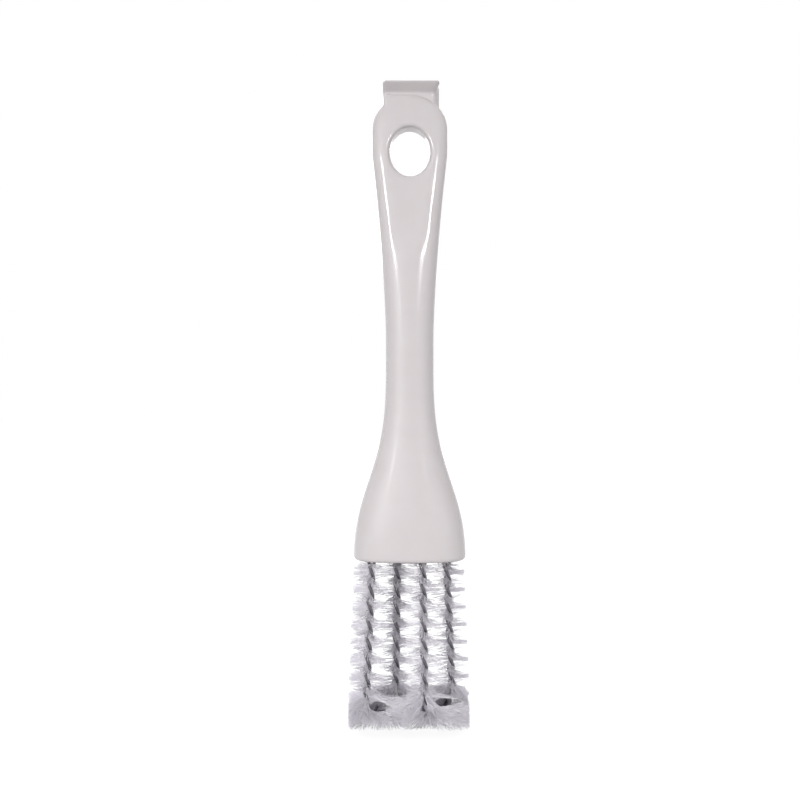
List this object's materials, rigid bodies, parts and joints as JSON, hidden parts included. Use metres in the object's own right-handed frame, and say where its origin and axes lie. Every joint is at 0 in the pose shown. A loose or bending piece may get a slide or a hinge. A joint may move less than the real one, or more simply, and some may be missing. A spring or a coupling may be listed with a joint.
{
  "type": "grill brush",
  "caption": "Hand brush for grill grates: slim plastic handle with hanging hole and hooked scraper tip, flared head carrying U-bent twisted-wire nylon brushes.",
  "frame": {"origin": "centre of the footprint at the height of the lowest bristle tips, with the brush held upright", "axes": "+Z along the handle from the bristles to the scraper tip, front with the scraper's lip towards -Y, +X to the right seen from the front"},
  "size_m": [0.0329, 0.0188, 0.175],
  "materials": {
    "handle_plastic": "glossy moulded plastic, warm light grey",
    "wire_steel": "drawn steel wire, twisted in pairs",
    "bristle_nylon": "fine translucent nylon filaments, pale lavender white"
  },
  "bodies": {
    "root": {"handle": "handle_plastic", "left_loop_wire_a": "wire_steel", "left_loop_wire_b": "wire_steel", "right_loop_wire_a": "wire_steel", "right_loop_wire_b": "wire_steel", "left_loop_front_bristles": "bristle_nylon", "left_loop_bend_bristles": "bristle_nylon", "left_loop_rear_bristles": "bristle_nylon", "right_loop_front_bristles": "bristle_nylon", "right_loop_bend_bristles": "bristle_nylon", "right_loop_rear_bristles": "bristle_nylon"}
  },
  "joints": []
}
